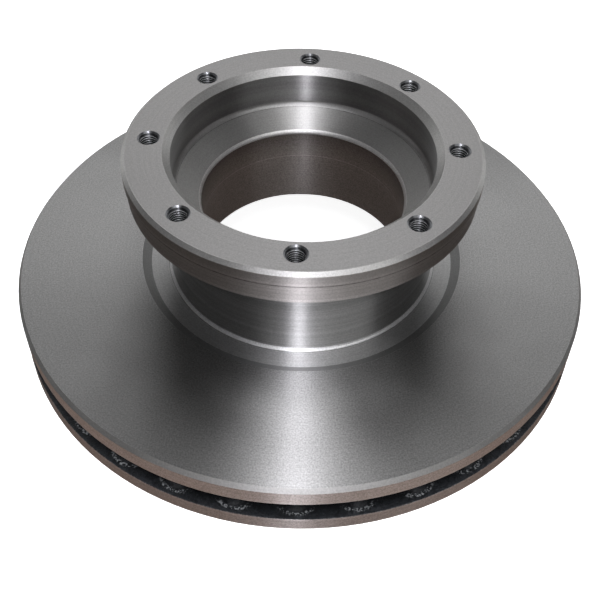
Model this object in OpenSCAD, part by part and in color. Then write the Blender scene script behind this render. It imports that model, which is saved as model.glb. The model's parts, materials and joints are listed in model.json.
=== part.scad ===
// Ventilated brake disc for a heavy vehicle, one casting turned all over except in its vents.
// The disc lies on its inboard friction face at z = 0, and the mounting flange stands on top.
// Sections are drawn as [radius, height] and turned about the z axis.

/* [Friction ring] */
// Outside diameter of the friction ring
disc_d = 430; // [400:1:460]
// Thickness of the outboard cheek, which carries the neck
outboard_cheek_t = 15.5; // [12:0.5:20]
// Height of the vents between the cheeks
vent_gap = 18; // [14:0.5:24]
// Thickness of the inboard cheek
inboard_cheek_t = 11.5; // [9:0.5:18]
// Inside diameter of the inboard cheek, where the cooling air enters
inboard_bore_d = 226; // [210:1:240]
// Radial width of the chamfer round the outboard friction face
rim_chamfer_w = 2.4; // [1:0.1:4]
// Height of the chamfer round the outboard friction face
rim_chamfer_h = 3; // [1:0.1:5]
// Chamfer that breaks both edges of the inboard friction face
inboard_chamfer = 0.6; // [0.3:0.1:3]
// Radius left by the casting on the edges of the vent gap
vent_edge_r = 0.8; // [0.3:0.1:2]

/* [Vanes] */
// Number of vanes between the cheeks
vane_count = 32; // [20:1:34]
// Thickness of each vane
vane_w = 10; // [7:0.5:12]
// Distance that the vanes stop short of the outside diameter
vane_setback = 8; // [4:0.5:16]
// Distance that the vanes stop short of the inboard cheek's inner edge
vane_inner_setback = 3; // [1:0.5:10]
// Radius of the fillet at the foot and head of each vane
vane_root_r = 4; // [2:0.5:5]
// Angle between the first vane and a bolt hole
vane_phase = 1.75; // [-5:0.25:5]

/* [Relief groove] */
// Depth of the relief groove below the outboard friction face
groove_depth = 4; // [2:0.25:6]
// Radial width of the groove's flat floor, outwards from the neck's foot
groove_floor_w = 14.7; // [8:0.1:18]
// Radial width of the groove's sloping outer wall
groove_wall_w = 6.8; // [3:0.1:9]

/* [Neck] */
// Thickness of the neck where it goes round the recess
neck_wall = 4; // [3:0.25:8]
// Radial flare of the neck's foot
neck_flare = 3; // [0.5:0.25:6]
// Height of the flare above the groove floor
neck_foot_h = 14; // [8:0.5:24]
// Radius of the fillet between the neck's foot and the groove floor
neck_root_r = 3; // [1:0.25:4]
// Radius of the fillet between the neck and the flange
neck_top_r = 4; // [2:0.25:5]

/* [Flange] */
// Metal between the tapped holes and the flange's edge
flange_land = 11; // [7:0.5:16]
// Height of the flange face above the outboard friction face
flange_rise = 100; // [85:1:130]
// Thickness of the flange
flange_t = 27.5; // [20:0.5:32]
// Chamfer round the flange face
flange_chamfer = 2.5; // [1:0.1:4]
// Depth of the finish turned band below the flange face
band_depth = 10.5; // [7:0.5:14]
// Step in radius below the finish turned band
band_step = 0.5; // [0.2:0.1:1]
// Radial draft of the flange's side below the step
flange_draft = 1.2; // [0:0.1:2]
// Radius of the flange's lower edge
flange_edge_r = 1.5; // [0.5:0.25:3]

/* [Recess and bore] */
// Diameter of the recess that locates the hub
recess_d = 189; // [175:0.5:210]
// Chamfer at the mouth of the recess
recess_chamfer = 5; // [2:0.25:6]
// Depth from the flange face to the foot of the recess wall
recess_depth = 31.5; // [26:0.5:38]
// Radius of the fillet at the foot of the recess wall
recess_fillet_r = 5; // [1:0.5:8]
// Drop of the conical seat between the recess wall and the bore
seat_drop = 14; // [6:0.5:18]
// Diameter of the bore
bore_d = 150; // [140:0.5:160]
// Radius of the edge between the seat and the bore
bore_edge_r = 4; // [1:0.5:6]
// Length of the finish turned part of the bore below the seat
bore_land = 24; // [15:0.5:30]
// Step in radius below the finish turned part of the bore
bore_step = 0.4; // [0.2:0.1:1]
// Radial draft of the bore's lower part
bore_draft = 3; // [0:0.1:5]
// Radius of the bore's lower edge
bore_foot_r = 2.5; // [1:0.25:4]

/* [Bolt holes] */
// Number of tapped holes in the flange
hole_count = 8; // [4:1:12]
// Metal between the recess and each tapped hole
hole_land = 8.5; // [6:0.5:14]
// Nominal diameter of the thread
thread_d = 14; // [10:0.5:16]
// Chamfer at the mouth of each hole
hole_chamfer = 1.1; // [0.5:0.1:2]

/* [Hidden] */
$fn = 96;

// Heights of the faces above the inboard friction face
inboard_top = inboard_cheek_t;
outboard_bottom = inboard_top + vent_gap;
friction_z = outboard_bottom + outboard_cheek_t;
groove_z = friction_z - groove_depth;
flange_z = friction_z + flange_rise;
flange_bottom = flange_z - flange_t;
seat_top = flange_z - recess_depth;
seat_bottom = seat_top - seat_drop;
step_z = seat_bottom - bore_land;

// Radii from the bore outwards: the neck, the holes, the flange and the groove follow the recess
bore_r = bore_d / 2;
bore_relief_r = bore_r + bore_step;
recess_r = recess_d / 2;
neck_r = recess_r + neck_wall;
neck_foot_r = neck_r + neck_flare;
groove_r = neck_foot_r + groove_floor_w;
friction_inner_r = groove_r + groove_wall_w;
pitch_r = recess_r + hole_land + thread_d / 2;
flange_r = pitch_r + thread_d / 2 + flange_land;
band_r = flange_r - band_step;
disc_r = disc_d / 2;
inboard_bore_r = inboard_bore_d / 2;

// Points along each rounded corner, and how far a cut runs past the face that it opens
CORNER_STEPS = 8;
OVERRUN = 1;
// How far each vane runs into the cheeks that it joins
VANE_BITE = 1;
// The vane fillets meet the cheeks at this share of their radius, just short of tangent
ROOT_SINK = 0.04;

function unit(v) = v / norm(v);

// Corner at b between a and c, rounded to radius r with both arc ends tangent to the sides
function rounded_corner(a, b, c, r) =
    r == 0 ? [b] :
    let (
        to_a = unit(a - b),
        to_c = unit(c - b),
        half = acos(to_a * to_c) / 2,
        centre = b + unit(to_a + to_c) * r / sin(half),
        first = b + to_a * r / tan(half) - centre,
        last = b + to_c * r / tan(half) - centre,
        start = atan2(first[1], first[0]),
        turn = atan2(last[1], last[0]) - start,
        sweep = turn > 180 ? turn - 360 : turn < -180 ? turn + 360 : turn
    )
    [for (i = [0 : CORNER_STEPS])
        let (angle = start + sweep * i / CORNER_STEPS)
        centre + r * [cos(angle), sin(angle)]];

// Closed outline from corners given as [radius, height, corner radius]
function rounded_outline(corners) =
    let (n = len(corners), place = [for (p = corners) [p[0], p[1]]])
    [for (i = [0 : n - 1])
        each rounded_corner(place[(i + n - 1) % n], place[i], place[(i + 1) % n], corners[i][2])];

// Outboard cheek, neck and flange in one section, from the bore's lower edge round to the bore
function outboard_corners() = [
    [bore_relief_r + bore_draft, outboard_bottom, bore_foot_r],
    [disc_r, outboard_bottom, vent_edge_r],
    [disc_r, friction_z - rim_chamfer_h, 0],
    [disc_r - rim_chamfer_w, friction_z, 0],
    [friction_inner_r, friction_z, 0],
    [groove_r, groove_z, 0],
    [neck_foot_r, groove_z, neck_root_r],
    [neck_r, groove_z + neck_foot_h, 0],
    [neck_r, flange_bottom, neck_top_r],
    [band_r - flange_draft, flange_bottom, flange_edge_r],
    [band_r, flange_z - band_depth - band_step, 0],
    [flange_r, flange_z - band_depth, 0],
    [flange_r, flange_z - flange_chamfer, 0],
    [flange_r - flange_chamfer, flange_z, 0],
    [recess_r + recess_chamfer, flange_z, 0],
    [recess_r, flange_z - recess_chamfer, 0],
    [recess_r, seat_top, recess_fillet_r],
    [bore_r, seat_bottom, bore_edge_r],
    [bore_r, step_z, 0],
    [bore_relief_r, step_z - bore_step, 0]
];

// Inboard cheek, a plain ring with both edges of its friction face broken
function inboard_corners() = [
    [inboard_bore_r + inboard_chamfer, 0, 0],
    [disc_r - inboard_chamfer, 0, 0],
    [disc_r, inboard_chamfer, 0],
    [disc_r, inboard_top, vent_edge_r],
    [inboard_bore_r, inboard_top, vent_edge_r],
    [inboard_bore_r, inboard_chamfer, 0]
];

// Half of a vane's section: the web, and a concave fillet at the foot and at the head
module vane_half_section() {
    reach = vane_w / 2 + vane_root_r;
    sink = vane_root_r * ROOT_SINK;
    difference() {
        translate([0, -VANE_BITE])
            square([reach, vent_gap + 2 * VANE_BITE]);
        translate([reach, vane_root_r - sink])
            circle(r = vane_root_r);
        translate([reach, vent_gap - vane_root_r + sink])
            circle(r = vane_root_r);
        translate([vane_w / 2, vane_root_r - sink])
            square([vane_root_r + OVERRUN, vent_gap - 2 * (vane_root_r - sink)]);
    }
}

// One radial vane along +X with a round nose at each end
module vane() {
    inner = inboard_bore_r + vane_inner_setback + vane_w / 2;
    outer = disc_r - vane_setback - vane_w / 2;
    translate([inner, 0, inboard_top])
        rotate([90, 0, 90])
            linear_extrude(outer - inner)
                for (side = [0, 1])
                    mirror([side, 0])
                        vane_half_section();
    for (end = [inner, outer])
        translate([end, 0, inboard_top])
            rotate_extrude()
                vane_half_section();
}

// Tapped hole through the flange, bored to the thread's nominal size, with its mouth chamfer
module bolt_hole() {
    mouth_r = thread_d / 2 + hole_chamfer;
    translate([0, 0, flange_bottom - OVERRUN])
        cylinder(h = flange_t + 2 * OVERRUN, d = thread_d);
    translate([0, 0, flange_z - hole_chamfer])
        cylinder(h = hole_chamfer + OVERRUN, r1 = thread_d / 2, r2 = mouth_r + OVERRUN);
}

module brake_disc() {
    color([0.62, 0.62, 0.62])
        difference() {
            union() {
                rotate_extrude()
                    polygon(rounded_outline(outboard_corners()));
                rotate_extrude()
                    polygon(rounded_outline(inboard_corners()));
                for (i = [0 : vane_count - 1])
                    rotate(vane_phase + i * 360 / vane_count)
                        vane();
            }
            for (i = [0 : hole_count - 1])
                rotate(i * 360 / hole_count)
                    translate([pitch_r, 0, 0])
                        bolt_hole();
        }
}

brake_disc();
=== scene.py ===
"""Turned, ground and cast finishes, screw threads and a small studio for a ventilated brake disc."""

import json
import math

import bpy
from mathutils import Matrix, Vector


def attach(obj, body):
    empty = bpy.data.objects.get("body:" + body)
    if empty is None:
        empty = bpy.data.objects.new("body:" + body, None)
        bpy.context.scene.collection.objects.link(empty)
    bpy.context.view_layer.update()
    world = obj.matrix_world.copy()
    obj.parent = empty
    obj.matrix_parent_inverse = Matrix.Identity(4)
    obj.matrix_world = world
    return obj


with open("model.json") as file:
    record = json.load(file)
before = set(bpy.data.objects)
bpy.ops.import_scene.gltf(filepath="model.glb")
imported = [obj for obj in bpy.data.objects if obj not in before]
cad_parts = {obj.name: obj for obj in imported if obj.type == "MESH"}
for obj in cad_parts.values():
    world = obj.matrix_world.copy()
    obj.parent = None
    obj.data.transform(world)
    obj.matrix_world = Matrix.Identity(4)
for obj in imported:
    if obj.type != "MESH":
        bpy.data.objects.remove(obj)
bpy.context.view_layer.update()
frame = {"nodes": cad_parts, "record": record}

bl_info = {
    "name": "Brake Disc Finish",
    "version": (1, 0, 0),
    "blender": (4, 5, 0),
    "location": "View3D > Sidebar > Brake Disc",
    "description": "Turned, ground and cast finishes, screw threads and a studio for a brake disc",
    "category": "Object",
}

DISC = "brake_disc"
BODY = "root"
MOUNTS = {mount["name"]: mount for mount in frame["record"]["mounts"]}
MM = 0.001
# How near a face's centre has to be to a stated height or radius
NEAR = 0.0002
# A normal this far towards +Z or -Z belongs to a flat face, and this little to a wall
FLAT = 0.99
UPRIGHT = 0.03
# The least that a chamfer's normal leans off level, and the most that a thread crest's does
CHAMFERED = 0.01
CREST_LEAN = 0.07
# A rounded outer edge belongs to the rim up to this far towards +Z or -Z
ROUND = 0.9
# Normals between which the fillet at the neck's foot gets the near-white finish of a painted highlight
ROOT_START = 0.15
ROOT_END = 0.94
# Turn of the shading tangent that lays the long side of a highlight across the turning marks
ACROSS = 0.25
# Most of a noise's values lie between these two
NOISE_LOW = 0.3
NOISE_HIGH = 0.7
# Least strength of a line that is uneven along its length
FAINTEST = 0.4
# Tones of the casting's skin over its sand grains and its pits, from the darkest to the lightest
SAND_TONES = (0.6, 1.7)
PIT_TONES = (0.75, 1.35)
# How much the sand grains change the skin's roughness
SAND_ROUGH = 0.12
# Values of a noise between which a speck of painted glint goes from nothing to full strength
SPECK_FROM = 0.5
SPECK_TO = 0.62
# Shares of a vane foot's radius, outwards from its centre, between which its painted glint specks come
# in
FOOT_START = 0.4
FOOT_END = 0.95
# Sockets of a mix of colours: the share of the second, the two colours, and the result
MIX_SHARE = 0
MIX_FIRST = 6
MIX_SECOND = 7
MIX_RESULT = 2
# Turns wound past the flange's two faces before the thread is cut flat there
SPARE_TURNS = 2
# Points of the thread closer than this share of its sink are merged
MERGE_SHARE = 0.1
# Sides of the floor's edge and of the cone that opens a hole's mouth
CIRCLE_SIDES = 96
WHITE = (1.0, 1.0, 1.0, 1.0)


def length(name, description, default):
    return bpy.props.FloatProperty(
        name=name, description=description, default=default, min=0.0, precision=5, unit="LENGTH"
    )


def share(name, description, default):
    return bpy.props.FloatProperty(
        name=name, description=description, default=default, min=0.0, max=1.0, subtype="FACTOR"
    )


def color(name, description, default):
    return bpy.props.FloatVectorProperty(
        name=name, description=description, default=default, min=0.0, max=1.0, size=3, subtype="COLOR"
    )


def angle(name, description, degrees):
    return bpy.props.FloatProperty(
        name=name, description=description, default=math.radians(degrees), subtype="ANGLE"
    )


def power(name, description, watts):
    return bpy.props.FloatProperty(
        name=name, description=description, default=watts, min=0.0, unit="POWER"
    )


def number(name, description, default):
    return bpy.props.FloatProperty(name=name, description=description, default=default)


def count(name, description, default):
    return bpy.props.IntProperty(name=name, description=description, default=default, min=1)


class DiscSizes(bpy.types.PropertyGroup):
    """Sizes of the disc that tell its turned, ground and cast surfaces apart."""

    flange_z: length("Flange face", "Height of the flange face", MOUNTS["flange_face"]["pos_m"][2])
    friction_z: length(
        "Friction face", "Height of the outboard friction face",
        MOUNTS["outboard_friction_face"]["pos_m"][2],
    )
    recess_r: length("Recess", "Radius of the recess wall", MOUNTS["recess"]["dims"]["r_mm"] * MM)
    bore_r: length("Bore", "Radius of the bore", MOUNTS["hub_bore"]["dims"]["r_mm"] * MM)
    pitch_r: length(
        "Pitch circle", "Radius of the circle of tapped holes",
        MOUNTS["flange_bolts"]["dims"]["pcd_mm"] * MM / 2,
    )
    hole_r: length(
        "Hole", "Radius of each tapped hole", MOUNTS["flange_bolts"]["dims"]["hole_r_mm"] * MM
    )
    hole_count: count("Holes", "Number of tapped holes", MOUNTS["flange_bolts"]["dims"]["count"])
    hole_chamfer: length("Hole chamfer", "Chamfer at the mouth of each tapped hole", 0.0011)
    flange_t: length("Flange thickness", "Thickness of the flange", 0.0275)
    flange_r: length("Flange radius", "Outside radius of the flange", 0.128)
    flange_chamfer: length("Flange chamfer", "Chamfer round the flange face", 0.0025)
    flange_inset: length("Flange inset", "Most that the flange's side lies inside its radius", 0.0035)
    band_depth: length("Flange band", "Depth of the finish turned band below the flange face", 0.0105)
    recess_chamfer: length("Recess chamfer", "Chamfer at the mouth of the recess", 0.005)
    fillet_r: length("Recess fillet", "Radius where the recess's fillet meets the seat", 0.0924)
    bore_edge: length("Bore edge", "Reach of the rounded edge between seat and bore", 0.0017)
    bore_step_z: length("Bore step", "Height of the step in the bore", 0.0755)
    seat_foot_z: length("Seat foot", "Height where the bore meets the seat's rounded edge", 0.0975)
    groove_depth: length("Groove depth", "Depth of the relief groove", 0.004)
    groove_r: length("Groove floor", "Outer radius of the relief groove's floor", 0.1162)
    groove_mouth_r: length("Groove mouth", "Radius where the groove meets the friction face", 0.123)
    neck_root: length("Neck root", "Radius of the fillet at the neck's foot", 0.003)
    disc_r: length("Disc", "Outside radius of the disc", 0.215)
    rim_chamfer_w: length("Rim chamfer", "Width of the outboard friction face's chamfer", 0.0024)
    rim_chamfer_h: length("Rim chamfer height", "Height of that chamfer", 0.003)
    inboard_chamfer: length("Inboard chamfer", "Broken edges of the inboard friction face", 0.0006)
    cheek_t: length("Inboard cheek", "Thickness of the inboard cheek", 0.0115)
    vent_gap: length("Vent gap", "Height of the vents", 0.018)
    vent_edge: length("Vent edge", "Radius of the edges of the vent gap", 0.0008)
    vane_count: count("Vanes", "Number of vanes", 32)
    vane_nose_r: length("Vane nose", "Radius on which the vanes' noses are centred", 0.202)
    vane_foot_r: length("Vane foot", "Radius of a nose and its root fillet together", 0.0090)
    vane_phase: angle("Vane angle", "Angle of the first vane", 1.75)


class ThreadSizes(bpy.types.PropertyGroup):
    """Sizes of the screw thread in each tapped hole."""

    pitch: length("Pitch", "Rise of the thread in one turn", 0.002)
    crest_r: length("Crest radius", "Radius of the thread's crest, inside the hole", 0.00592)
    crest_w: length("Crest width", "Width of the flat on the crest", 0.0005)
    root_w: length("Root width", "Width of the ridge where it meets the hole's wall", 0.00175)
    sink: length("Sink", "How far the ridge runs into the hole's wall", 0.00003)
    steps: count("Steps", "Faces round one turn of the thread", 48)
    smooth: angle("Smoothing", "Edges that turn less than this are shaded smooth", 70.0)


class Finishes(bpy.types.PropertyGroup):
    """Colour, roughness and brushing of each finish on the disc."""

    friction_color: color("Friction face", "Fine turned grey iron", (0.48, 0.478, 0.478))
    friction_rough: share("Friction roughness", "Roughness of the friction faces", 0.40)
    friction_brushed: share("Friction brushing", "Pull of the turning marks on the highlight", 0.95)
    flange_color: color("Flange face", "Ground grey iron", (0.48, 0.472, 0.47))
    flange_rough: share("Flange roughness", "Roughness of the flange face", 0.5)
    flange_brushed: share("Flange brushing", "Pull of the grinding marks on the highlight", 0.2)
    neck_color: color("Neck", "Coarser turned iron", (0.50, 0.498, 0.495))
    neck_rough: share("Neck roughness", "Roughness of the neck", 0.49)
    neck_brushed: share("Neck brushing", "Pull of the turning marks on the highlight", 1.0)
    # Painted highlight: near-white tone of the fillet at the neck's foot
    root_highlight_color: color("Neck root", "Bright fillet at the neck's foot", (0.92, 0.92, 0.92))
    root_rough: share("Neck root roughness", "Roughness of the fillet at the neck's foot", 0.42)
    root_brushed: share("Neck root brushing", "Pull of the turning marks on the highlight", 0.5)
    chamfer_color: color("Chamfers", "Bright cut edges", (0.60, 0.595, 0.585))
    chamfer_rough: share("Chamfer roughness", "Roughness of the chamfers", 0.44)
    chamfer_brushed: share("Chamfer brushing", "Pull of the turning marks on the highlight", 0.5)
    chamfer_metal: share("Chamfer metal", "How much of the chamfers shines as bare metal", 0.95)
    rim_chamfer_color: color("Rim chamfers", "Duller cut edges of the rims", (0.50, 0.495, 0.485))
    rim_chamfer_rough: share("Rim chamfer roughness", "Roughness of the chamfers of the rims", 0.50)
    groove_color: color("Groove floor", "Turned floor of the relief groove", (0.74, 0.74, 0.74))
    groove_wall_color: color("Groove wall", "Sloping wall of the relief groove", (0.40, 0.40, 0.40))
    groove_rough: share("Groove roughness", "Roughness of the relief groove's floor", 0.46)
    recess_color: color("Recess", "Bored grey iron", (0.36, 0.357, 0.355))
    recess_rough: share("Recess roughness", "Roughness of the recess wall", 0.395)
    recess_brushed: share("Recess brushing", "Pull of the boring marks on the highlight", 1.0)
    seat_color: color("Seat", "Turned conical seat", (0.38, 0.376, 0.37))
    seat_rough: share("Seat roughness", "Roughness of the seat and its fillet", 0.42)
    seat_brushed: share("Seat brushing", "Pull of the turning marks on the highlight", 0.85)
    seat_metal: share("Seat metal", "How much of the seat shines as bare metal", 0.90)
    edge_color: color("Bore edge", "Bright edge between the seat and the bore", (0.78, 0.77, 0.76))
    fillet_color: color("Recess fillet", "Fillet at the foot of the recess", (0.43, 0.426, 0.42))
    fillet_metal: share("Fillet metal", "How much of that fillet shines as bare metal", 0.97)
    rim_color: color("Rims", "Turned iron with a brown bloom", (0.110, 0.076, 0.061))
    rim_rough: share("Rim roughness", "Roughness of the rims", 0.46)
    side_color: color("Flange side", "Iron with a faint brown bloom", (0.018, 0.012, 0.009))
    side_rough: share("Flange side roughness", "Roughness of the flange's side", 0.57)
    side_gloss: number("Flange side gloss", "Refractive index of the bloom on the flange's side", 7.5)
    # Painted shade: the inboard cheek's rim darker, down near the floor
    low_rim: share("Low rim", "Tone of the inboard cheek's rim against the outboard one's", 0.75)
    bore_color: color("Bore", "Bored iron with a brown bloom", (0.070, 0.052, 0.043))
    bore_rough: share("Bore roughness", "Roughness of the bore", 0.50)
    bore_gloss: number("Bore gloss", "Refractive index of the oxide in the bore", 2.6)
    # Painted shade: tone of the bore under the seat, where less light reaches, against its foot
    painted_upper_bore_shade: share("Upper bore", "Tone of the bore under the seat against its foot", 0.42)
    bloom_brushed: share("Bloom brushing", "Pull of the turning marks under the bloom", 1.0)
    bloom_gloss: number("Bloom gloss", "Refractive index of the oxide on the bloomed iron", 3.3)
    bloom_sheen: color("Bloom sheen", "Tint of the bloom's reflections", (0.92, 0.88, 0.86))
    # Painted light and shade on the threads: the crests a light tone and the flanks a dark one
    lit_crest_color: color("Threads", "Bright crests of the threads", (0.92, 0.93, 0.95))
    thread_rough: share("Thread roughness", "Roughness of the threads", 0.50)
    thread_brushed: share("Thread brushing", "Pull of the tap's marks on the highlight", 1.0)
    thread_metal: share("Thread metal", "How much of the crests shines as bare metal", 0.70)
    mouth_color: color("Hole mouths", "Chamfers of the tapped holes", (0.42, 0.43, 0.45))
    mouth_rough: share("Hole mouth roughness", "Roughness of the chamfers of the holes", 0.40)
    shaded_flank_color: color("Thread flanks", "Flanks and grooves of the threads", (0.20, 0.205, 0.215))
    cast_color: color("Vents", "Black skin of the raw casting", (0.018, 0.02, 0.023))
    cast_rough: share("Vent roughness", "Roughness of the raw casting", 0.42)
    # Painted shade: tone of the skin deep in the vents against their mouths
    painted_vent_shade: share("Inner vents", "Tone of the skin inside the vents against their mouths", 0.08)
    cast_shine: share("Vent shine", "Strength of the reflections at the mouths of the vents", 0.5)
    # Painted highlight: colour of the light specks that stand for glints at the vanes' feet and along
    # the vents' lower edge
    glint_color: color("Bare specks", "Bare iron on the casting's skin", (0.50, 0.52, 0.54))


class Texture(bpy.types.PropertyGroup):
    """Grain, marks, lines of wear and painted highlight, and lines of painted shade on the cut
    surfaces, and the casting's skin with its painted glints.
    """

    grain_size: length("Grain", "Size of the iron's grain", 0.0011)
    grain_depth: length("Grain depth", "Depth of the iron's grain", 0.000012)
    grain_shade: share("Grain shade", "How much the grain changes the tone", 0.13)
    ground_shade: share("Friction grain", "How much the grain changes a friction face's tone", 0.26)
    bloom_grain: share("Bloom grain", "How much the grain changes the tone of bloomed iron", 0.30)
    patch_size: length("Patches", "Size of the faint patches", 0.035)
    patch_shade: share("Patch shade", "How much the patches change the tone", 0.035)
    line_gap: length("Turning marks", "Distance between the turning marks", 0.0011)
    line_shade: share("Mark shade", "How much fine turning marks change the tone", 0.04)
    coarse_shade: share("Coarse mark shade", "How much coarse turning marks change the tone", 0.08)
    fine_line: length("Fine marks", "Depth of the marks on ground and fine turned faces", 0.000005)
    coarse_line: length("Coarse marks", "Depth of the marks on rough turned walls", 0.00002)
    rough_spread: share("Roughness spread", "How much the grain and patches change the roughness", 0.03)
    band_size: length("Turning bands", "Width of the bands that each tool pass leaves", 0.008)
    band_shade: share("Band shade", "How much the bands change the tone", 0.10)
    # Painted highlight and wear: a lighter line along each cut edge
    edge_w: length("Worn edges", "Half the width of the bright line on a worn edge", 0.0005)
    edge_gain: number("Edge gain", "Tone of a worn edge against its face", 1.22)
    step_gain: number("Step gain", "Tone of the step in the bore against the bore", 1.8)
    # Painted shadow: a dark line on the flange's side just below the step at the foot of the turned
    # band
    step_shadow_w: length("Witness line", "Half the width of the dark line on the flange's side", 0.0006)
    shade_line_tone: share("Witness tone", "Tone of a dark line against its surface", 0.45)
    sand_size: length("Sand grain", "Size of the sand grains in the casting's skin", 0.0011)
    sand_depth: length("Sand depth", "Depth of the sand grains", 0.0006)
    pit_size: length("Pits", "Size of the pits in the casting's skin", 0.0045)
    pit_depth: length("Pit depth", "Depth of the pits", 0.0008)
    speck_size: length("Specks", "Size of the bare specks", 0.0011)
    speck_w: length("Speck band", "Half the width of the specks' band at a vane's foot", 0.0016)
    speck_spread: share("Speck spread", "A foot's own width against its band of specks", 0.75)
    # Painted highlight: strength of the glint specks at the vanes' feet
    foot_glint_share: share("Speck strength", "How bare the specks at the vanes' feet are", 0.6)
    # Painted highlight: strength of the light fringe along the vents' lower edge
    fringe_share: share("Fringe strength", "How bare the vents' lower edge is", 0.30)
    # Painted shade: how far in from the rim the painted shade is darkest
    vent_shade_depth: length("Vent mouth", "How far in from the rim the skin is darkest", 0.012)


class Studio(bpy.types.PropertyGroup):
    """Camera and light of the studio."""

    distance: length("Distance", "From the camera to the point it turns about", 0.69806)
    aim_x: length("Aim sideways", "Sideways place of that point", 0.008671)
    aim_z: length("Aim height", "Height of that point", 0.05871)
    turn: angle("Turn", "Turn of the camera about the disc's axis", 0.8)
    elevation: angle("Elevation", "Height of the camera as an angle", 43.349)
    roll: angle("Roll", "Tilt of the picture", 1.87)
    lens_mm: number("Lens", "Focal length on a 36 mm sensor", 54.35)
    shift_x: number("Shift X", "Sideways framing, as a share of the picture", -0.02235)
    shift_y: number("Shift Y", "Upright framing, as a share of the picture", -0.1108)
    strip_low: power("Low strip", "Power of the low part of the narrow strip in front", 5.9)
    strip_mid: power("Middle strip", "Power of the middle part of the narrow strip in front", 1.6)
    strip_high: power("High strip", "Power of the high part of the narrow strip in front", 4.4)
    side_near: power("Side panel", "Power of the panel beside the strip", 1.8)
    side_left: power("Left side panel", "Power of the panel to the left of the strip", 0.7)
    side_far: power("Far side panel", "Power of the panel to the right", 2.8)
    back: power("Back panel", "Power of the panel behind", 5.0)
    top: power("Top panel", "Power of the panel overhead", 3.0)
    left_low: power("Low left panel", "Power of the low panel behind on the left", 1.7)
    right_low: power("Low right panel", "Power of the low panel behind on the right", 1.7)
    world: share("Surroundings", "Brightness of the room", 0.05)
    floor_glow: share("Floor glow", "Light that the floor gives by itself", 0.90)
    floor_color: color("Floor", "Pale floor", (0.80, 0.80, 0.80))
    strip_color: color("Strip tint", "Cool light of the narrow strip", (0.95, 0.94, 1.0))


# Radius and roughness of the flat floor, and its rising rim as the rise and growth of each step
FLOOR_R = 3.0
FLOOR_ROUGH = 0.9
FLOOR_RIM = ((0.1, 1.12), (0.3, 1.12), (0.6, 1.1), (1.0, 1.06), (1.6, 1.02))
# Width of the camera's sensor, and how near and how far it sees
SENSOR_MM = 36.0
NEAREST = 0.01
FARTHEST = 50.0
# Panels of light as turn, elevation, width and height, all at the same distance from the disc
PANEL_DISTANCE = 1.7
PANEL_AIM = Vector((0.0, 0.0, 0.05))
PANELS = {
    "strip_low": (-89.0, 20.0, 0.07, 0.75),
    "strip_mid": (-89.0, 45.0, 0.07, 0.75),
    "strip_high": (-89.0, 70.0, 0.07, 0.75),
    "side_near": (-73.0, 45.0, 0.35, 1.2),
    "side_left": (-110.0, 45.0, 0.35, 1.2),
    "side_far": (-48.0, 40.0, 0.9, 0.8),
    "back": (90.0, 45.0, 1.6, 1.2),
    "top": (90.0, 89.9, 0.4, 0.6),
    "left_low": (137.0, 9.0, 1.0, 0.5),
    "right_low": (43.0, 9.0, 1.0, 0.5),
}


def deselect():
    if bpy.context.object and bpy.context.object.mode != "OBJECT":
        bpy.ops.object.mode_set(mode="OBJECT")
    bpy.ops.object.select_all(action="DESELECT")


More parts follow.
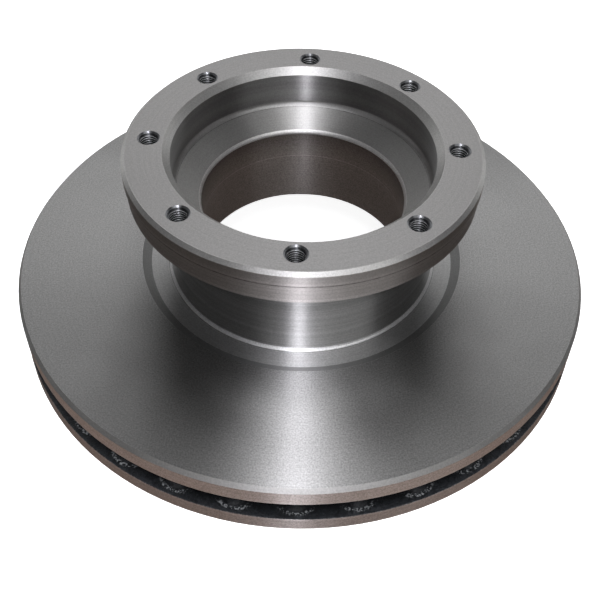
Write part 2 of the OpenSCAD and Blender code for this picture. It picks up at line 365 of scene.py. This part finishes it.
class Finish:
    """Node tree of one finish, built up around a single shader."""

    def __init__(self, name):
        self.material = bpy.data.materials.new(name)
        self.material.use_nodes = True
        self.nodes = self.material.node_tree.nodes
        self.links = self.material.node_tree.links
        self.shader = self.nodes["Principled BSDF"]
        self.place = self.nodes.new("ShaderNodeTexCoord").outputs["Object"]
        split = self.nodes.new("ShaderNodeSeparateXYZ")
        self.links.new(self.place, split.inputs[0])
        self.x, self.y, self.height = split.outputs
        self.radius = self.reach(self.x, self.y)

    def join(self, value, socket):
        if isinstance(value, (int, float)):
            socket.default_value = value
        else:
            self.links.new(value, socket)

    def math(self, operation, *values):
        node = self.nodes.new("ShaderNodeMath")
        node.operation = operation
        for value, socket in zip(values, node.inputs):
            self.join(value, socket)
        return node.outputs[0]

    def reach(self, x, y):
        """Distance of a place from an axis, from its two distances square to each other."""
        squares = self.math("ADD", self.math("POWER", x, 2.0), self.math("POWER", y, 2.0))
        return self.math("SQRT", squares)

    def noise(self, size, detail=2.0, along=None):
        """Noise with features of that size: in space, or along one value where it is given."""
        node = self.nodes.new("ShaderNodeTexNoise")
        node.inputs["Scale"].default_value = 1.0 / size
        node.inputs["Detail"].default_value = detail
        if along is None:
            self.links.new(self.place, node.inputs["Vector"])
        else:
            node.noise_dimensions = "1D"
            self.links.new(along, node.inputs["W"])
        return node.outputs["Fac"]

    def ramp(self, value, start, end, low, high):
        """A value between start and end, laid out from low to high and held there beyond them."""
        node = self.nodes.new("ShaderNodeMapRange")
        for name, limit in zip(("From Min", "From Max", "To Min", "To Max"), (start, end, low, high)):
            node.inputs[name].default_value = limit
        self.links.new(value, node.inputs["Value"])
        return node.outputs["Result"]

    def spread(self, value, low, high):
        """The middle of a noise laid out from low to high."""
        return self.ramp(value, NOISE_LOW, NOISE_HIGH, low, high)

    def vary(self, value, share_of_tone):
        """The middle of a noise as a factor on the tone."""
        return self.spread(value, 1.0 - share_of_tone, 1.0 + share_of_tone)

    def band(self, value, middle, half_width):
        """1 in the middle of a band of values, 0 outside it."""
        away = self.math("ABSOLUTE", self.math("SUBTRACT", value, middle))
        return self.ramp(away, half_width / 2, half_width, 1.0, 0.0)

    def along(self, name):
        """The radius or the height, by its name."""
        return self.radius if name == "radius" else self.height

    def line(self, shade, value, middle, half_width, gain, broken):
        """A tone with a line of another tone round the disc, uneven along its length."""
        strength = self.math("MULTIPLY", self.band(value, middle, half_width), broken)
        factor = self.math("MULTIPLY_ADD", strength, gain - 1.0, 1.0)
        return self.math("MULTIPLY", shade, factor)

    def tint(self, value, rgb):
        """A colour times a value."""
        node = self.nodes.new("ShaderNodeVectorMath")
        node.operation = "SCALE"
        node.inputs[0].default_value = rgb
        self.links.new(value, node.inputs["Scale"])
        return node.outputs[0]

    def mix(self, share_of_second, first, second):
        """One colour over another."""
        node = self.nodes.new("ShaderNodeMix")
        node.data_type = "RGBA"
        self.links.new(share_of_second, node.inputs[MIX_SHARE])
        self.links.new(first, node.inputs[MIX_FIRST])
        node.inputs[MIX_SECOND].default_value = (*second, 1.0)
        return node.outputs[MIX_RESULT]

    def bump(self, height, depth, normal=None):
        node = self.nodes.new("ShaderNodeBump")
        node.inputs["Distance"].default_value = depth
        self.links.new(height, node.inputs["Height"])
        if normal is not None:
            self.links.new(normal, node.inputs["Normal"])
        return node.outputs["Normal"]

    def from_hole(self, sizes):
        """The place across the disc, measured from the axis of the nearest tapped hole."""
        step = 2 * math.pi / sizes.hole_count
        turn = self.math("ADD", self.math("ARCTAN2", self.y, self.x), step / 2)
        turn = self.math("SNAP", turn, step)
        hole_x = self.math("MULTIPLY", self.math("COSINE", turn), sizes.pitch_r)
        hole_y = self.math("MULTIPLY", self.math("SINE", turn), sizes.pitch_r)
        return self.math("SUBTRACT", self.x, hole_x), self.math("SUBTRACT", self.y, hole_y)

    def brush(self, pull, x, y):
        """Draws the highlight out across marks that run round the axis that x and y start from."""
        round_axis = self.nodes.new("ShaderNodeCombineXYZ")
        self.links.new(self.math("MULTIPLY", y, -1.0), round_axis.inputs[0])
        self.links.new(x, round_axis.inputs[1])
        self.shader.inputs["Anisotropic"].default_value = pull
        self.shader.inputs["Anisotropic Rotation"].default_value = ACROSS
        self.links.new(round_axis.outputs[0], self.shader.inputs["Tangent"])


def turned(
    name, rgb, roughness, pull, texture, marking,
    lines=(), banded=False, gloss=None, sheen=None, metal=1.0, fade=None, bored=None,
):
    """Cut iron: marks round the axis, a grain, faint patches and lines at its edges.

    The marking is the depth and shade of the marks, and the shade of the grain. With a gloss the
    iron is under a brown bloom of oxide, whose sheen is tinted, and otherwise it is bare metal. A
    fade lays its tone out between two radii or two heights. Where it is bored, with the disc's
    sizes given, its marks run round the nearest tapped hole and not round the disc.
    """
    finish = Finish(name)
    line_depth, line_shade, grain_shade = marking
    path = finish.math("ADD", finish.radius, finish.height)
    marks = finish.noise(texture.line_gap, detail=3.0, along=path)
    grain = finish.noise(texture.grain_size, detail=4.0)
    patches = finish.noise(texture.patch_size, detail=3.0)
    shade = finish.math(
        "MULTIPLY", finish.vary(grain, grain_shade), finish.vary(patches, texture.patch_shade)
    )
    shade = finish.math("MULTIPLY", shade, finish.vary(marks, line_shade))
    if banded:
        passes = finish.noise(texture.band_size, detail=1.0, along=path)
        shade = finish.math("MULTIPLY", shade, finish.vary(passes, texture.band_shade))
    broken = finish.spread(finish.noise(texture.pit_size), FAINTEST, 1.0)
    for along, middle, half_width, gain in lines:
        shade = finish.line(shade, finish.along(along), middle, half_width, gain, broken)
    if fade is not None:
        shade = finish.math("MULTIPLY", shade, finish.ramp(finish.along(fade[0]), *fade[1:]))
    finish.links.new(finish.tint(shade, rgb), finish.shader.inputs["Base Color"])
    rough = finish.math(
        "ADD",
        finish.spread(patches, -texture.rough_spread, texture.rough_spread),
        finish.spread(grain, roughness - texture.rough_spread, roughness + texture.rough_spread),
    )
    finish.links.new(rough, finish.shader.inputs["Roughness"])
    normal = finish.bump(grain, texture.grain_depth, finish.bump(marks, line_depth))
    finish.links.new(normal, finish.shader.inputs["Normal"])
    if gloss is None:
        finish.shader.inputs["Metallic"].default_value = metal
    else:
        finish.shader.inputs["IOR"].default_value = gloss
        finish.links.new(finish.tint(shade, sheen), finish.shader.inputs["Specular Tint"])
    finish.brush(pull, *(finish.from_hole(bored) if bored else (finish.x, finish.y)))
    return finish.material


def painted_foot_glints(finish, texture, sizes):
    """How strong the painted glints are round the outer feet of the vanes, on the inboard cheek:
    highlights of the root fillets, laid on as light specks.
    """
    step = 2 * math.pi / sizes.vane_count
    turn = finish.math("SUBTRACT", finish.math("ARCTAN2", finish.y, finish.x), sizes.vane_phase)
    turn = finish.math("WRAP", turn, step / 2, -step / 2)
    beside = finish.math("MULTIPLY", finish.radius, finish.math("SINE", turn))
    beside = finish.math("MULTIPLY", beside, texture.speck_spread)
    beyond = finish.math("MULTIPLY", finish.radius, finish.math("COSINE", turn))
    beyond = finish.math("SUBTRACT", beyond, sizes.vane_nose_r)
    foot_r = sizes.vane_foot_r
    foot = finish.band(finish.reach(beside, beyond), foot_r, texture.speck_w)
    outside = finish.ramp(beyond, FOOT_START * foot_r, FOOT_END * foot_r, 0.0, texture.foot_glint_share)
    low = finish.band(finish.height, sizes.cheek_t, texture.speck_w)
    return finish.math("MULTIPLY", finish.math("MULTIPLY", foot, outside), low)


def painted_edge_glints(finish, texture, sizes):
    """How strong the painted highlight is along the vents' lower edge, laid on as light specks."""
    rim = finish.band(finish.radius, sizes.disc_r, sizes.vent_edge)
    rim = finish.math("MULTIPLY", rim, finish.band(finish.height, sizes.cheek_t, sizes.vent_edge))
    return finish.math("MULTIPLY", rim, texture.fringe_share)


def cast_skin(look, texture, sizes):
    """Black skin of a raw casting: sand grains, pits, painted glints at the feet and the edge, and
    painted shade inside the vents.
    """
    finish = Finish("raw_casting")
    sand = finish.noise(texture.sand_size)
    pits = finish.noise(texture.pit_size, detail=3.0)
    shade = finish.math(
        "MULTIPLY", finish.spread(sand, *SAND_TONES), finish.spread(pits, *PIT_TONES)
    )
    specks = finish.noise(texture.speck_size, detail=3.0)
    specks = finish.ramp(specks, SPECK_FROM, SPECK_TO, 0.0, 1.0)
    # Painted highlight: light specks where the vanes' feet and the vents' lower edge catch the light
    bare = finish.math(
        "MAXIMUM", painted_foot_glints(finish, texture, sizes), painted_edge_glints(finish, texture, sizes)
    )
    bare = finish.math("MULTIPLY", bare, specks)
    # Painted shade: the skin and its reflections grow darker inward from the vents' mouths
    inner_r = sizes.disc_r - texture.vent_shade_depth
    mouth = finish.ramp(finish.radius, inner_r, sizes.disc_r, look.painted_vent_shade, 1.0)
    shade = finish.math("MULTIPLY", shade, mouth)
    finish.links.new(
        finish.math("MULTIPLY", mouth, look.cast_shine), finish.shader.inputs["Specular IOR Level"]
    )
    skin = finish.mix(bare, finish.tint(shade, look.cast_color), look.glint_color)
    finish.links.new(skin, finish.shader.inputs["Base Color"])
    rough = finish.spread(sand, look.cast_rough - SAND_ROUGH, look.cast_rough + SAND_ROUGH)
    finish.links.new(rough, finish.shader.inputs["Roughness"])
    normal = finish.bump(sand, texture.sand_depth, finish.bump(pits, texture.pit_depth))
    finish.links.new(normal, finish.shader.inputs["Normal"])
    return finish.material


def disc_materials(look, texture, sizes):
    """The materials of the disc's surfaces, by the names that surface_of gives."""
    fine = texture.fine_line, texture.line_shade, texture.grain_shade
    coarse = texture.coarse_line, texture.coarse_shade, texture.grain_shade
    grainy = texture.fine_line, texture.line_shade, texture.ground_shade
    bloomed = texture.coarse_line, texture.coarse_shade, texture.bloom_grain

    # A lighter line along an edge: painted highlight of its small break, and wear
    def worn_and_highlit(along, middle, gain=texture.edge_gain):
        return along, middle, texture.edge_w, gain

    vent_top = sizes.cheek_t + sizes.vent_gap
    # Painted shadow below the step at the foot of the flange's turned band
    step_shadow_z = sizes.flange_z - sizes.band_depth - 2 * texture.step_shadow_w
    return {
        "friction": turned(
            "turned_friction_face", look.friction_color, look.friction_rough, look.friction_brushed,
            texture, grainy,
            (
                worn_and_highlit("radius", sizes.disc_r - sizes.rim_chamfer_w),
                worn_and_highlit("radius", sizes.groove_mouth_r),
            ),
        ),
        "flange": turned(
            "ground_flange_face", look.flange_color, look.flange_rough, look.flange_brushed,
            texture, fine,
            (
                worn_and_highlit("radius", sizes.flange_r - sizes.flange_chamfer),
                worn_and_highlit("radius", sizes.recess_r + sizes.recess_chamfer),
            ),
        ),
        "neck": turned(
            "turned_neck", look.neck_color, look.neck_rough, look.neck_brushed,
            texture, coarse, banded=True,
        ),
        "groove": turned(
            "turned_groove_floor", look.groove_color, look.groove_rough, look.friction_brushed,
            texture, fine,
        ),
        "groove_wall": turned(
            "turned_groove_wall", look.groove_wall_color, look.groove_rough, look.friction_brushed,
            texture, fine, (worn_and_highlit("radius", sizes.groove_r),),
        ),
        "rim_chamfer": turned(
            "cut_rim_chamfer", look.rim_chamfer_color, look.rim_chamfer_rough, look.chamfer_brushed,
            texture, fine, metal=look.chamfer_metal,
        ),
        "root": turned(
            "turned_neck_root", look.root_highlight_color, look.root_rough, look.root_brushed, texture, fine
        ),
        "chamfer": turned(
            "cut_chamfer", look.chamfer_color, look.chamfer_rough, look.chamfer_brushed,
            texture, fine, metal=look.chamfer_metal,
        ),
        "recess": turned(
            "bored_recess", look.recess_color, look.recess_rough, look.recess_brushed,
            texture, fine, banded=True,
        ),
        "seat": turned(
            "turned_seat", look.seat_color, look.seat_rough, look.seat_brushed, texture, fine,
            # Painted shade: a dark line in the crease where the fillet meets the seat
            (("radius", sizes.fillet_r, texture.edge_w, texture.shade_line_tone),),
            metal=look.seat_metal,
        ),
        "fillet": turned(
            "recess_fillet", look.fillet_color, look.seat_rough, look.chamfer_brushed,
            texture, fine, metal=look.fillet_metal,
        ),
        "edge": turned(
            "bore_edge", look.edge_color, look.chamfer_rough, look.chamfer_brushed,
            texture, fine, metal=look.chamfer_metal,
        ),
        "rim": turned(
            "bloomed_rim", look.rim_color, look.rim_rough, look.bloom_brushed, texture, bloomed,
            (
                worn_and_highlit("height", vent_top + sizes.vent_edge),
                worn_and_highlit("height", sizes.cheek_t - sizes.vent_edge),
            ),
            gloss=look.bloom_gloss, sheen=look.bloom_sheen,
            # Painted shade: the rim darker towards the floor
            fade=("height", sizes.cheek_t, vent_top, look.low_rim, 1.0),
        ),
        "side": turned(
            "bloomed_flange_side", look.side_color, look.side_rough, look.bloom_brushed,
            texture, coarse, (("height", step_shadow_z, texture.step_shadow_w, texture.shade_line_tone),),
            banded=True, gloss=look.side_gloss, sheen=look.bloom_sheen,
        ),
        "bore": turned(
            "bloomed_bore", look.bore_color, look.bore_rough, look.bloom_brushed, texture, bloomed,
            (worn_and_highlit("height", sizes.bore_step_z, texture.step_gain),),
            gloss=look.bore_gloss, sheen=look.bloom_sheen,
            # Painted shade: the bore darker towards the seat
            fade=("height", sizes.bore_step_z, sizes.seat_foot_z, 1.0, look.painted_upper_bore_shade),
        ),
        # Painted light on the crests, and painted shade on the flanks and the holes' walls
        "thread": turned(
            "cut_thread", look.lit_crest_color, look.thread_rough, look.thread_brushed, texture, fine,
            metal=look.thread_metal, bored=sizes,
        ),
        "mouth": turned(
            "hole_mouth", look.mouth_color, look.mouth_rough, look.thread_brushed, texture, fine,
            bored=sizes,
        ),
        "hole": turned(
            "thread_flank", look.shaded_flank_color, look.thread_rough, look.thread_brushed, texture, fine,
            bored=sizes,
        ),
        "cast": cast_skin(look, texture, sizes),
    }


def hole_centres(sizes):
    """Centres of the tapped holes, the first on +X."""
    for place in range(sizes.hole_count):
        turn = 2 * math.pi * place / sizes.hole_count
        yield Vector((math.cos(turn), math.sin(turn))) * sizes.pitch_r


def hub_surface(radius, height, outward, upward, sizes):
    """Name of a surface on the flange, or inside its recess and bore."""
    if height > sizes.flange_z - NEAR:
        return "flange"
    if outward > 0:
        if radius < sizes.flange_r - sizes.flange_inset:
            return "neck"
        return "chamfer" if height > sizes.flange_z - sizes.flange_chamfer else "side"
    if height > sizes.flange_z - sizes.recess_chamfer:
        return "chamfer"
    if upward > UPRIGHT:
        if radius < sizes.bore_r + sizes.bore_edge:
            return "edge"
        return "seat" if radius < sizes.fillet_r else "fillet"
    return "recess" if radius > sizes.recess_r - NEAR else "bore"


def ring_surface(radius, height, outward, upward, sizes):
    """Name of a surface on the friction ring or the lower neck."""
    vent_top = sizes.cheek_t + sizes.vent_gap
    groove_z = sizes.friction_z - sizes.groove_depth
    if height < NEAR or (upward > FLAT and abs(height - sizes.friction_z) < NEAR):
        return "friction"
    if outward < 0 and radius < sizes.recess_r and height > vent_top:
        return "bore"
    if radius < sizes.groove_mouth_r and height > groove_z - NEAR:
        if upward > FLAT:
            return "groove"
        if outward < 0:
            return "groove_wall"
        # Painted highlight: the part of the root fillet between these normals gets the near-white
        # finish
        in_root = height < groove_z + sizes.neck_root and ROOT_START < upward < ROOT_END
        return "root" if in_root and radius < sizes.groove_r - NEAR else "neck"
    if abs(upward) > CHAMFERED and (
        height > sizes.friction_z - sizes.rim_chamfer_h or height < sizes.inboard_chamfer
    ):
        return "rim_chamfer"
    walled = abs(upward) < (ROUND if radius > sizes.disc_r - sizes.vent_edge / 2 else UPRIGHT)
    if walled and (height > vent_top or height < sizes.cheek_t):
        return "rim"
    return "cast"


def surface_of(place, normal, sizes):
    """Name of the surface that a face of the disc belongs to, from its centre and its normal."""
    radius = place.xy.length
    outward = normal.xy.dot(place.xy) / radius
    flange_under = sizes.flange_z - sizes.flange_t
    if abs(normal.z) < FLAT and place.z > flange_under - NEAR:
        mouth = sizes.hole_r + sizes.hole_chamfer + NEAR
        if any((place.xy - centre).length < mouth for centre in hole_centres(sizes)):
            return "mouth" if normal.z > UPRIGHT else "hole"
    inside = outward < 0 and radius < sizes.recess_r + NEAR
    on_hub = place.z > flange_under - NEAR or (inside and place.z > sizes.friction_z)
    name_surface = hub_surface if on_hub else ring_surface
    return name_surface(radius, place.z, outward, normal.z, sizes)


class DISC_OT_finish_surfaces(bpy.types.Operator):
    """Give each surface of the disc its own finish"""

    bl_idname = "brake_disc.finish_surfaces"
    bl_label = "Finish the Disc"

    def execute(self, context):
        scene = context.scene
        disc = frame["nodes"][DISC]
        materials = disc_materials(scene.disc_finishes, scene.disc_texture, scene.disc_sizes)
        disc.data.materials.clear()
        for material in materials.values():
            disc.data.materials.append(material)
        slots = {name: place for place, name in enumerate(materials)}
        for face in disc.data.polygons:
            face.material_index = slots[surface_of(face.center, face.normal, scene.disc_sizes)]
        return {"FINISHED"}


class DISC_OT_cut_threads(bpy.types.Operator):
    """Add a screw thread to each tapped hole"""

    bl_idname = "brake_disc.cut_threads"
    bl_label = "Cut the Threads"

    def execute(self, context):
        sizes = context.scene.disc_sizes
        ridge = self.ridge(sizes, context.scene.disc_thread)
        for place, centre in enumerate(hole_centres(sizes), 1):
            piece = ridge.copy()
            piece.data = ridge.data.copy()
            piece.name = f"thread_{place}"
            context.collection.objects.link(piece)
            piece.data.transform(Matrix.Translation(centre.to_3d()))
            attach(piece, BODY)
        bpy.data.objects.remove(ridge)
        return {"FINISHED"}

    def ridge(self, sizes, thread):
        """One helical ridge on the z axis, cut off flat at both ends and by the mouth's cone."""
        under = sizes.flange_z - sizes.flange_t
        wall_r = sizes.hole_r + thread.sink
        middle_r = (wall_r + thread.crest_r) / 2
        ridge = self.section(thread, wall_r, middle_r, under - thread.pitch)
        self.wind(ridge, thread, math.ceil(sizes.flange_t / thread.pitch) + SPARE_TURNS)
        self.cut_flat(under + NEAR, sizes.flange_z - sizes.hole_chamfer)
        self.cut_cone(ridge, sizes)
        bpy.ops.object.shade_smooth_by_angle(angle=thread.smooth)
        for name in ("cut_thread", "thread_flank"):
            ridge.data.materials.append(bpy.data.materials[name])
        # Crests get the lighter finish and all else the darker one, as painted light and shade
        for face in ridge.data.polygons:
            on_crest = abs(face.normal.z) < CREST_LEAN and face.center.xy.length < middle_r
            face.material_index = 0 if on_crest else 1
        return ridge

    def section(self, thread, wall_r, middle_r, height):
        """Outline of the ridge's section, wide at the wall and narrow at the crest."""
        deselect()
        bpy.ops.mesh.primitive_plane_add(
            size=1.0, location=(middle_r, 0.0, height), rotation=(math.pi / 2, 0.0, 0.0)
        )
        ridge = bpy.context.object
        ridge.scale = (wall_r - thread.crest_r, thread.root_w, 1.0)
        bpy.ops.object.transform_apply(location=True, rotation=True, scale=True)
        for corner in ridge.data.vertices:
            corner.select = corner.co.x < middle_r
        bpy.ops.object.mode_set(mode="EDIT")
        bpy.ops.transform.resize(value=(1.0, 1.0, thread.crest_w / thread.root_w))
        bpy.ops.mesh.select_all(action="SELECT")
        bpy.ops.mesh.delete(type="ONLY_FACE")
        bpy.ops.object.mode_set(mode="OBJECT")
        return ridge

    def wind(self, ridge, thread, turns):
        """Winds the section up the z axis."""
        winding = ridge.modifiers.new("winding", "SCREW")
        winding.screw_offset = thread.pitch
        winding.iterations = turns
        winding.steps = thread.steps
        winding.render_steps = thread.steps
        winding.use_merge_vertices = True
        winding.merge_threshold = thread.sink * MERGE_SHARE
        bpy.ops.object.modifier_apply(modifier=winding.name)

    def cut_flat(self, bottom, top):
        """Turns the ridge's faces outwards and cuts it off flat at two heights."""
        bpy.ops.object.mode_set(mode="EDIT")
        bpy.ops.mesh.select_all(action="SELECT")
        bpy.ops.mesh.normals_make_consistent(inside=False)
        for height, facing in ((bottom, -1.0), (top, 1.0)):
            bpy.ops.mesh.select_all(action="SELECT")
            bpy.ops.mesh.bisect(
                plane_co=(0.0, 0.0, height),
                plane_no=(0.0, 0.0, facing),
                use_fill=True,
                clear_outer=True,
            )
        bpy.ops.object.mode_set(mode="OBJECT")

    def cut_cone(self, ridge, sizes):
        """Cuts the first turns back to the cone of the hole's mouth."""
        mouth_r = sizes.hole_r + sizes.hole_chamfer
        deselect()
        bpy.ops.mesh.primitive_cone_add(
            vertices=CIRCLE_SIDES, radius1=0.0, radius2=mouth_r, depth=mouth_r,
            location=(0.0, 0.0, sizes.flange_z - mouth_r / 2),
        )
        cone = bpy.context.object
        deselect()
        ridge.select_set(True)
        bpy.context.view_layer.objects.active = ridge
        cut = ridge.modifiers.new("mouth", "BOOLEAN")
        cut.operation = "DIFFERENCE"
        cut.solver = "EXACT"
        cut.object = cone
        bpy.ops.object.modifier_apply(modifier=cut.name)
        bpy.data.objects.remove(cone)


class DISC_OT_build_studio(bpy.types.Operator):
    """Set up the floor, the lights and the camera"""

    bl_idname = "brake_disc.build_studio"
    bl_label = "Build the Studio"

    def execute(self, context):
        studio = context.scene.disc_studio
        self.floor(studio)
        self.surroundings(context.scene, studio)
        for name, spec in PANELS.items():
            light = self.panel(name, getattr(studio, name), *spec)
            if name.startswith("strip"):
                light.data.color = studio.strip_color
        self.camera(context.scene, studio)
        return {"FINISHED"}

    def floor(self, studio):
        """A wide pale bowl: flat under the disc and rising far behind it."""
        deselect()
        bpy.ops.mesh.primitive_circle_add(
            vertices=CIRCLE_SIDES, radius=FLOOR_R, fill_type="NGON", location=(0.0, 0.0, 0.0)
        )
        floor = bpy.context.object
        floor.name = "studio_floor"
        bpy.ops.object.mode_set(mode="EDIT")
        bpy.ops.mesh.select_mode(type="EDGE")
        bpy.ops.mesh.select_all(action="SELECT")
        for rise, grow in FLOOR_RIM:
            bpy.ops.mesh.extrude_edges_move(TRANSFORM_OT_translate={"value": (0.0, 0.0, rise)})
            bpy.ops.transform.resize(value=(grow, grow, 1.0))
        bpy.ops.object.mode_set(mode="OBJECT")
        bpy.ops.object.shade_smooth()
        finish = Finish("pale_floor")
        finish.shader.inputs["Base Color"].default_value = (*studio.floor_color, 1.0)
        finish.shader.inputs["Roughness"].default_value = FLOOR_ROUGH
        finish.shader.inputs["Emission Color"].default_value = WHITE
        finish.shader.inputs["Emission Strength"].default_value = studio.floor_glow
        floor.data.materials.append(finish.material)
        floor.visible_glossy = False

    def surroundings(self, scene, studio):
        world = bpy.data.worlds.new("studio_room")
        world.use_nodes = True
        background = world.node_tree.nodes["Background"]
        background.inputs["Color"].default_value = WHITE
        background.inputs["Strength"].default_value = studio.world
        scene.world = world
        scene.view_settings.view_transform = "Standard"

    def panel(self, name, watts, turn, elevation, across, tall):
        """A softbox that faces the disc and that no camera sees."""
        turn, elevation = math.radians(turn), math.radians(elevation)
        flat = math.cos(elevation)
        place = Vector((flat * math.cos(turn), flat * math.sin(turn), math.sin(elevation)))
        place *= PANEL_DISTANCE
        deselect()
        bpy.ops.object.light_add(type="AREA", location=place)
        light = bpy.context.object
        light.name = name
        light.data.shape = "RECTANGLE"
        light.data.size = across
        light.data.size_y = tall
        light.data.energy = watts
        light.rotation_euler = (PANEL_AIM - place).to_track_quat("-Z", "Y").to_euler()
        light.visible_camera = False
        return light

    def camera(self, scene, studio):
        deselect()
        bpy.ops.object.camera_add()
        camera = bpy.context.object
        camera.data.lens = studio.lens_mm
        camera.data.sensor_width = SENSOR_MM
        camera.data.shift_x = studio.shift_x
        camera.data.shift_y = studio.shift_y
        camera.data.clip_start = NEAREST
        camera.data.clip_end = FARTHEST
        camera.data.dof.use_dof = False
        back = Vector((0.0, -math.cos(studio.elevation), math.sin(studio.elevation)))
        eye = Vector((studio.aim_x, 0.0, studio.aim_z)) + back * studio.distance
        camera.matrix_world = (
            Matrix.Rotation(studio.turn, 4, "Z")
            @ Matrix.Translation(eye)
            @ Matrix.Rotation(math.pi / 2 - studio.elevation, 4, "X")
            @ Matrix.Rotation(studio.roll, 4, "Z")
        )
        scene.camera = camera


class DISC_PT_panel(bpy.types.Panel):
    """Sizes, finishes and studio of the brake disc"""

    bl_label = "Brake Disc"
    bl_idname = "DISC_PT_panel"
    bl_space_type = "VIEW_3D"
    bl_region_type = "UI"
    bl_category = "Brake Disc"

    def draw(self, context):
        scene = context.scene
        for operator, groups in (
            (DISC_OT_finish_surfaces, (scene.disc_finishes, scene.disc_texture, scene.disc_sizes)),
            (DISC_OT_cut_threads, (scene.disc_thread,)),
            (DISC_OT_build_studio, (scene.disc_studio,)),
        ):
            box = self.layout.box()
            box.operator(operator.bl_idname)
            for group in groups:
                for name in group.__annotations__:
                    box.prop(group, name)


GROUPS = {
    "disc_sizes": DiscSizes,
    "disc_thread": ThreadSizes,
    "disc_finishes": Finishes,
    "disc_texture": Texture,
    "disc_studio": Studio,
}
CLASSES = (
    *GROUPS.values(),
    DISC_OT_finish_surfaces,
    DISC_OT_cut_threads,
    DISC_OT_build_studio,
    DISC_PT_panel,
)


def register():
    for kind in CLASSES:
        bpy.utils.register_class(kind)
    for name, group in GROUPS.items():
        setattr(bpy.types.Scene, name, bpy.props.PointerProperty(type=group))


def unregister():
    for name in GROUPS:
        delattr(bpy.types.Scene, name)
    for kind in reversed(CLASSES):
        bpy.utils.unregister_class(kind)


def main():
    register()
    bpy.ops.brake_disc.finish_surfaces()
    bpy.ops.brake_disc.cut_threads()
    bpy.ops.brake_disc.build_studio()


if __name__ == "__main__":
    main()
